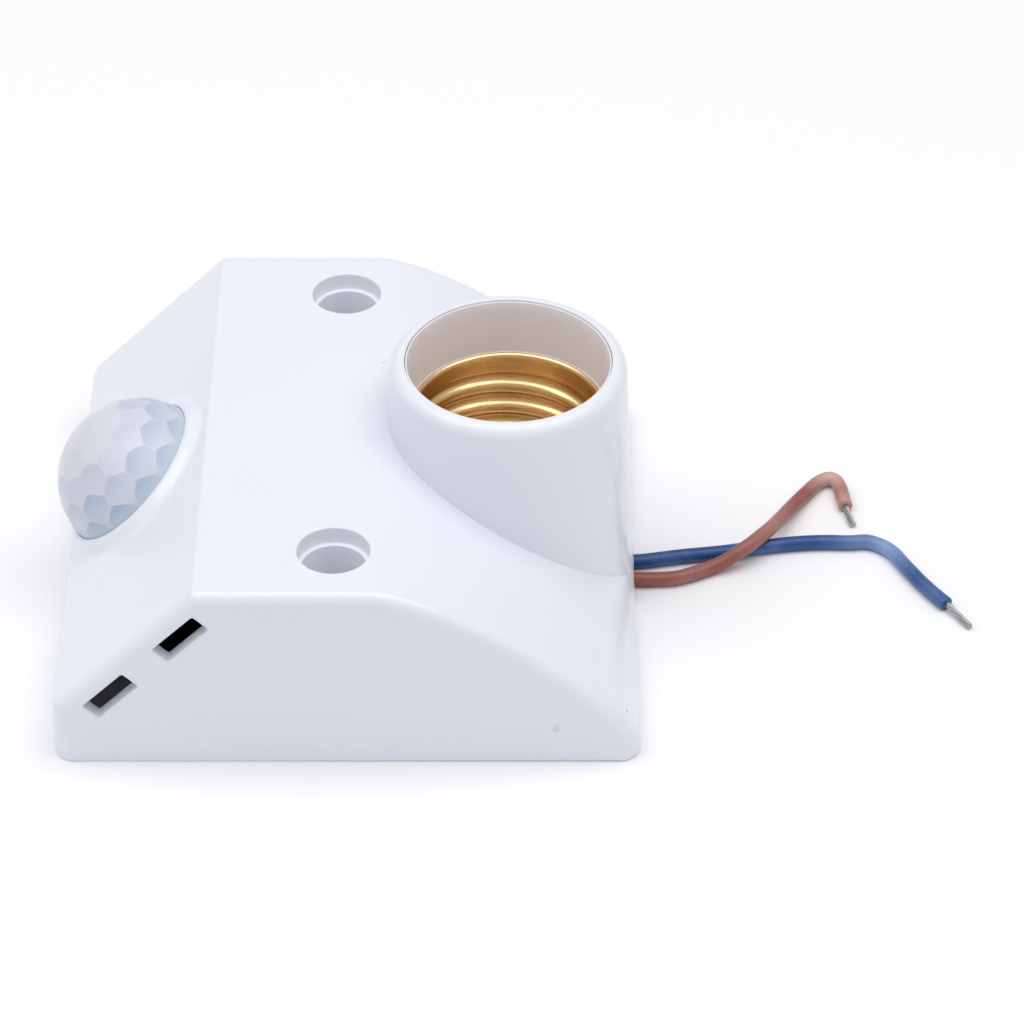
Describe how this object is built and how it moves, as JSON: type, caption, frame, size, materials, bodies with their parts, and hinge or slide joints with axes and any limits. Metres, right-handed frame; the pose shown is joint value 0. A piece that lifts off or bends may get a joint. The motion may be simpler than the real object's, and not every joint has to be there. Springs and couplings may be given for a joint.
{
  "type": "motion sensor lamp holder",
  "caption": "Surface-mounted lamp holder with a wedge-shaped box, a screw socket in a raised sleeve, a faceted motion-sensor dome on its slanted end and short bare-ended supply wires.",
  "frame": {"origin": "middle of the housing's footprint, on the surface it is mounted on", "axes": "+X from the lens end to the cable end, +Y to the back, +Z away from the mounting surface, out of the socket"},
  "size_m": [0.1294, 0.08, 0.0389],
  "materials": {
    "housing_plastic": "white glossy moulded plastic with a cool cast",
    "plate_plastic": "white moulded plastic",
    "liner_plastic": "pale pinkish grey moulded heat-resisting plastic",
    "brass": "bare pressed brass sheet",
    "contact_spring": "bare spring bronze",
    "zinc_steel": "zinc-plated steel",
    "rivet_metal": "bare aluminium",
    "lens_plastic": "milky translucent moulded plastic",
    "black_plastic": "black moulded plastic",
    "board": "green board with a clear lacquer",
    "tin": "tin-plated metal",
    "sensor_can": "plated metal can",
    "clear_resin": "clear cast resin",
    "blue_plastic": "blue moulded plastic",
    "yellow_film": "yellow wrapped film",
    "capacitor_sleeve": "dark shrunk plastic sleeve",
    "resistor_lacquer": "beige lacquer",
    "green_lacquer": "grey-green lacquer",
    "red_insulation": "red extruded insulation",
    "black_insulation": "black extruded insulation",
    "brown_insulation": "brown extruded insulation",
    "blue_insulation": "blue extruded insulation"
  },
  "bodies": {
    "root": {"housing": "housing_plastic", "base_plate": "plate_plastic", "base_screws": "zinc_steel", "socket_liner": "liner_plastic", "socket_screws": "zinc_steel", "screw_shell": "brass", "shell_contact": "brass", "centre_contact": "contact_spring", "contact_rivets": "rivet_metal", "lens": "lens_plastic", "lens_ring": "black_plastic", "sensor_board": "board", "sensor_screws": "zinc_steel", "sensor_pins": "tin", "motion_sensor": "sensor_can", "light_sensor": "clear_resin", "main_board": "board", "board_screws": "zinc_steel", "relay": "blue_plastic", "dropper_capacitor": "yellow_film", "smoothing_capacitor": "capacitor_sleeve", "control_chip": "black_plastic", "rectifier_diodes": "black_plastic", "resistors": "resistor_lacquer", "voltage_regulator": "black_plastic", "fusible_resistor": "green_lacquer", "solder_tags": "tin", "live_lead": "red_insulation", "neutral_lead": "black_insulation", "brown_wire": "brown_insulation", "blue_wire": "blue_insulation", "brown_wire_end": "tin", "blue_wire_end": "tin"}
  },
  "joints": []
}
